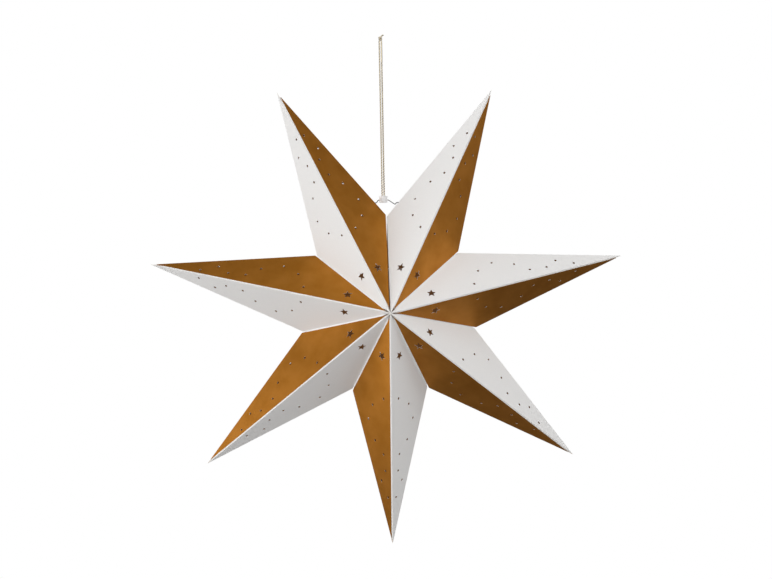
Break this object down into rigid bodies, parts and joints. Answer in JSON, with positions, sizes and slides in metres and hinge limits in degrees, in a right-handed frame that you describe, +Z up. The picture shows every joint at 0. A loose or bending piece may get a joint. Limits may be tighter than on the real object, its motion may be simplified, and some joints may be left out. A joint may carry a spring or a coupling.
{
  "type": "folded paper star pendant",
  "caption": "Folded paper star pendant in white and gold card with punched dots and stars, hung by a wire bracket on doubled twine, with a small battery lamp inside.",
  "frame": {"origin": "the hanging point: between the two strands of twine, just under their knot", "axes": "+Z up; -Y is the front of the star, towards the viewer; +X to the viewer's right"},
  "size_m": [0.5878, 0.1498, 0.6384],
  "materials": {
    "white_card": "matt coated card",
    "gold_card": "satin metallic gold print",
    "twine": "twisted two-ply natural twine",
    "wire": "dark drawn wire",
    "hub_plastic": "translucent moulded plastic",
    "case_plastic": "white moulded plastic",
    "frosted_plastic": "frosted translucent plastic",
    "cell_can": "plain metal can",
    "contact_metal": "nickel-plated spring strip",
    "board": "circuit board",
    "led": "LED chips",
    "switch_plastic": "black moulded plastic"
  },
  "bodies": {
    "hanging_twine": {"twine_knot": "twine", "twine_left": "twine", "twine_right": "twine"},
    "hub": {"hub_button": "hub_plastic", "twine_bight": "twine"},
    "bracket": {"wire_bracket": "wire", "lamp_case": "case_plastic", "battery_cell_1": "cell_can", "battery_cell_2": "cell_can", "battery_cell_3": "cell_can", "battery_contacts": "contact_metal", "led_board": "board", "led_chips": "led", "lamp_cup": "frosted_plastic", "switch_body": "switch_plastic"},
    "star": {"white_leaf_upper_right": "white_card", "gold_leaf_upper_right": "gold_card", "white_leaf_right": "white_card", "gold_leaf_right": "gold_card", "white_leaf_lower_right": "white_card", "gold_leaf_lower_right": "gold_card", "white_leaf_bottom": "white_card", "gold_leaf_bottom": "gold_card", "white_leaf_lower_left": "white_card", "gold_leaf_lower_left": "gold_card", "white_leaf_left": "white_card", "gold_leaf_left": "gold_card", "white_leaf_upper_left": "white_card", "gold_leaf_upper_left": "gold_card"},
    "battery_door": {"battery_door": "case_plastic"},
    "switch": {"switch_knob": "switch_plastic"}
  },
  "joints": [
    {"name": "twine_twist", "type": "hinge", "parent": "hanging_twine", "child": "hub", "pos_m": [0, 0, 0], "axis": [0, 0, 1], "range_deg": [-180, 180]},
    {"name": "bracket_rock", "type": "hinge", "parent": "hub", "child": "bracket", "pos_m": [0, 0, -0.1954], "axis": [1, 0, 0], "range_deg": [-30, 30]},
    {"name": "star_rock", "type": "hinge", "parent": "bracket", "child": "star", "pos_m": [0.004, 0, -0.1986], "axis": [1, 0, 0], "range_deg": [-15, 15]},
    {"name": "battery_door_slide", "type": "slide", "parent": "bracket", "child": "battery_door", "axis": [1, 0, 0], "range_m": [0, 0.012]},
    {"name": "switch_slide", "type": "slide", "parent": "bracket", "child": "switch", "axis": [1, 0, 0], "range_m": [0, 0.003]}
  ]
}
